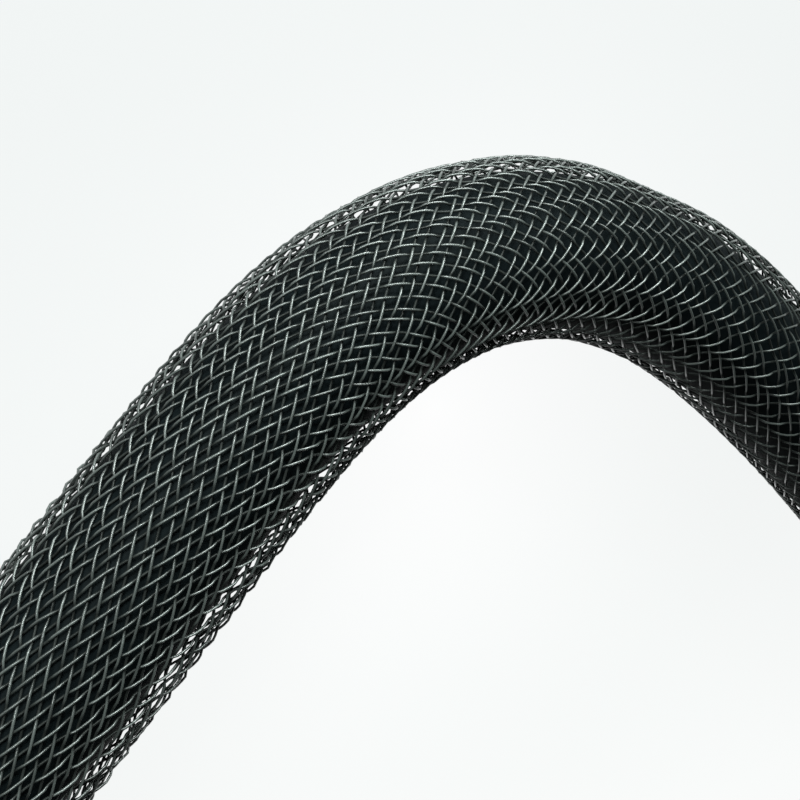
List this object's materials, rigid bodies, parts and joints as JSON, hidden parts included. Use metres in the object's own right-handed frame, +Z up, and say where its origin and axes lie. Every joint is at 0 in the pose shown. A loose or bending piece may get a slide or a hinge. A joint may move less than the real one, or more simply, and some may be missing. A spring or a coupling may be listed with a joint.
{
  "type": "braided cable sleeve",
  "caption": "Length of black expandable braided sleeve, a fine open mesh of crossing plastic filaments, over a smooth round cable, lying in an open horseshoe curve with flat cut ends.",
  "frame": {"origin": "under the middle of the piece's outline seen from above, at the level that it lies on", "axes": "+Z up; +X from the near cut end's side to the far one's; +Y towards the outside of the tight bend"},
  "size_m": [0.3872, 0.4442, 0.02],
  "materials": {
    "sleeve_plastic": "semi-gloss black monofilament",
    "cable_jacket": "smooth satin black jacket"
  },
  "bodies": {
    "root": {"braided_sleeve": "sleeve_plastic", "inner_cable": "cable_jacket"}
  },
  "joints": []
}
